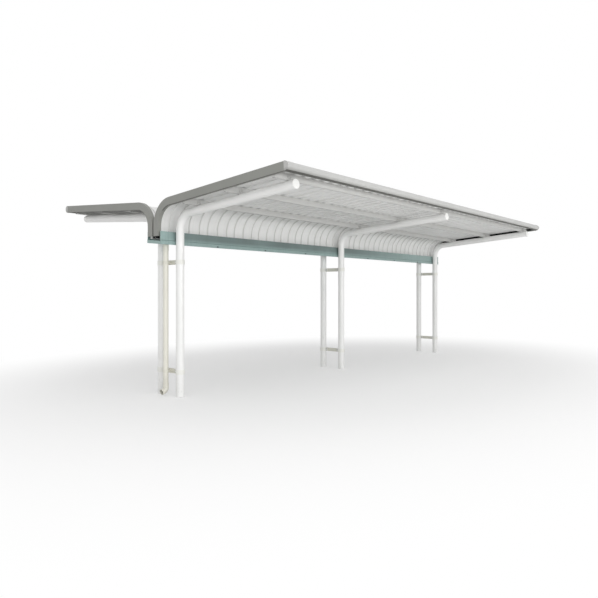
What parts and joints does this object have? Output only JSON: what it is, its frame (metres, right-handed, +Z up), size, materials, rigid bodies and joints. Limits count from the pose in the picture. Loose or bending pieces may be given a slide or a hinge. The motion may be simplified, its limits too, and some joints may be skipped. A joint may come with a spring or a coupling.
{
  "type": "bike shelter",
  "caption": "Open double-sided bike shelter: back-to-back bent pipe frames carry ribbed roof wings that curve down into a shared valley gutter drained by a downpipe.",
  "frame": {"origin": "ground level at the middle of the shelter's plan, on the valley line", "axes": "+X along the valley, away from the end with the downpipe; +Y to the back wing; +Z up"},
  "size_m": [6.268, 3.9416, 2.2543],
  "materials": {
    "post_paint": "satin white coating",
    "arm_cap": "moulded white cap",
    "tie_paint": "beige grey coating",
    "purlin_paint": "light grey coating",
    "roof_sheet": "off-white coated sheet",
    "verge_trim": "warm grey coating",
    "fascia": "satin light grey",
    "gutter_paint": "grey-green coating",
    "downpipe": "cream pipe",
    "clip_steel": "galvanised"
  },
  "bodies": {
    "root": {"front_bent_post_1": "post_paint", "front_bent_post_2": "post_paint", "front_bent_post_3": "post_paint", "back_bent_post_1": "post_paint", "back_bent_post_2": "post_paint", "back_bent_post_3": "post_paint", "front_arm_caps": "arm_cap", "back_arm_caps": "arm_cap", "post_clamps_1": "tie_paint", "post_clamps_2": "tie_paint", "post_clamps_3": "tie_paint", "tie_bars_1": "tie_paint", "tie_bars_2": "tie_paint", "tie_bars_3": "tie_paint", "front_purlin_inner": "purlin_paint", "front_purlin_middle": "purlin_paint", "front_purlin_outer": "purlin_paint", "back_purlin_inner": "purlin_paint", "back_purlin_middle": "purlin_paint", "back_purlin_outer": "purlin_paint", "front_purlin_cleats": "purlin_paint", "back_purlin_cleats": "purlin_paint", "front_roof_sheet_left": "roof_sheet", "front_roof_sheet_right": "roof_sheet", "back_roof_sheet_left": "roof_sheet", "back_roof_sheet_right": "roof_sheet", "front_verge_trim_left": "verge_trim", "front_verge_trim_right": "verge_trim", "back_verge_trim_left": "verge_trim", "back_verge_trim_right": "verge_trim", "front_fascia": "fascia", "back_fascia": "fascia", "front_fascia_cap_left": "fascia", "front_fascia_cap_right": "fascia", "back_fascia_cap_left": "fascia", "back_fascia_cap_right": "fascia", "gutter_trough_left": "gutter_paint", "gutter_trough_right": "gutter_paint", "gutter_end_left": "gutter_paint", "gutter_end_right": "gutter_paint", "gutter_outlet": "downpipe", "downpipe": "downpipe", "downpipe_elbow": "downpipe", "downpipe_clips": "clip_steel"}
  },
  "joints": []
}
